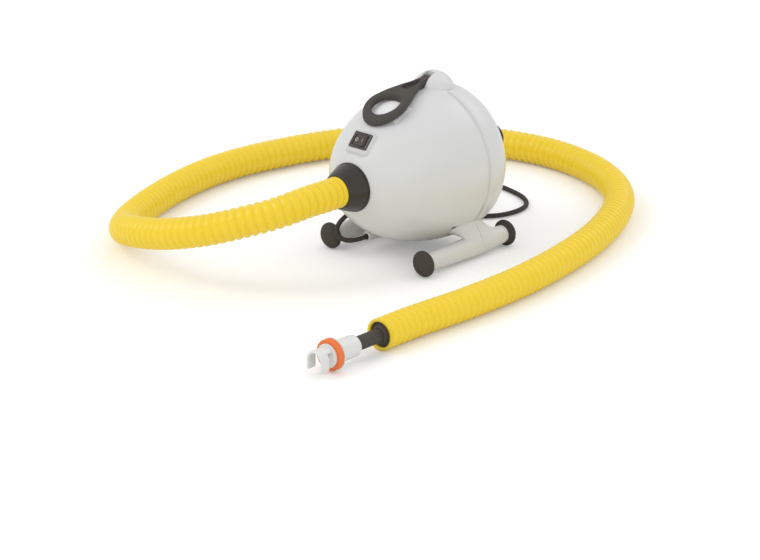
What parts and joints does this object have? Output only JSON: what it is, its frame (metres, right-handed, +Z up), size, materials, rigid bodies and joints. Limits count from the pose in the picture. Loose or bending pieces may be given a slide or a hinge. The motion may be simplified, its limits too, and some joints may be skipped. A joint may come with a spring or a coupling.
{
  "type": "mains air inflator",
  "caption": "Egg-shaped mains inflator on two skids, with a folding ring handle, a rocker switch, a corrugated air hose, a bayonet valve adapter and a mains lead.",
  "frame": {"origin": "on the floor, under the middle of the pump without its hose and lead", "axes": "+Z up, the outlet port and the switch face -Y, +X to the right seen from above with the outlet port at the bottom"},
  "size_m": [0.63, 0.8079, 0.2334],
  "materials": {
    "housing_grey": "satin moulded ABS",
    "dark_trim": "fine-grained moulded polymer",
    "foot_rubber": "matt rubber",
    "switch_black": "semi-gloss",
    "rocker_brown": "smooth",
    "blank_label": "printed film left bare",
    "steel": "zinc plated",
    "sheet_steel": "pressed sheet",
    "cast_alloy": "die cast",
    "fan_alloy": "pressed and riveted",
    "lamination": "stacked laminations",
    "copper_wire": "enamelled wire",
    "contact_brass": "stamped",
    "carbon": "pressed carbon",
    "spring_steel": "drawn wire",
    "black_rubber": "moulded",
    "filter_foam": "open-cell foam",
    "guard_plastic": "moulded",
    "block_plastic": "moulded",
    "capacitor_film": "wrapped film",
    "wire_brown": "wire insulation",
    "wire_blue": "wire insulation",
    "lead_sheath": "flexible sheath",
    "plug_plastic": "moulded on the lead",
    "nickel_pin": "nickel plated",
    "hose_yellow": "translucent corrugated polymer",
    "adapter_white": "smooth moulded",
    "washer_orange": "soft sealing rubber"
  },
  "bodies": {
    "housing": {"front_shell": "housing_grey", "rear_shell": "housing_grey", "front_port_collar": "dark_trim", "rear_port_collar": "dark_trim", "intake_guard": "guard_plastic", "intake_filter": "filter_foam", "foot_cap_front_left": "foot_rubber", "foot_cap_front_right": "foot_rubber", "foot_cap_rear_left": "foot_rubber", "foot_cap_rear_right": "foot_rubber", "shell_screws": "steel", "switch_body": "switch_black", "switch_terminals": "contact_brass", "data_label": "blank_label", "cord_gland": "black_rubber", "inner_lead": "lead_sheath", "terminal_block": "block_plastic", "capacitor": "capacitor_film", "switch_leads": "wire_brown", "motor_leads": "wire_blue", "rear_mount_ring": "black_rubber", "front_mount_ring": "black_rubber", "fan_case": "sheet_steel", "guide_vane_plate": "fan_alloy", "motor_rear_bracket": "cast_alloy", "motor_front_bracket": "cast_alloy", "motor_screws": "steel", "stator_core": "lamination", "field_coils": "copper_wire", "brush_holders": "contact_brass", "carbon_brushes": "carbon", "brush_springs": "spring_steel", "front_bearing": "steel", "rear_bearing": "steel", "mains_lead": "lead_sheath", "lead_coil": "lead_sheath", "plug_body": "plug_plastic", "plug_pins": "nickel_pin", "hose": "hose_yellow", "hose_cuff": "dark_trim", "nozzle_tube": "dark_trim", "valve_adapter": "adapter_white", "adapter_washer": "washer_orange"},
    "handle": {"carry_handle": "dark_trim"},
    "rocker": {"switch_rocker": "rocker_brown"},
    "rotor": {"rotor_shaft": "steel", "armature_core": "lamination", "armature_windings": "copper_wire", "commutator": "contact_brass", "impeller": "fan_alloy", "impeller_nut": "steel"}
  },
  "joints": [
    {"name": "handle_fold", "type": "hinge", "parent": "housing", "child": "handle", "pos_m": [0, 0.029, 0.22345], "axis": [-1, 0, 0], "range_deg": [0, 90]},
    {"name": "switch_rock", "type": "hinge", "parent": "housing", "child": "rocker", "pos_m": [0, -0.09677, 0.16946], "axis": [0, 0.6691, 0.7431], "range_deg": [0, 16]},
    {"name": "rotor_spin", "type": "hinge", "parent": "housing", "child": "rotor", "pos_m": [0, -0.006, 0.1145], "axis": [0, -1, 0], "continuous": true}
  ]
}
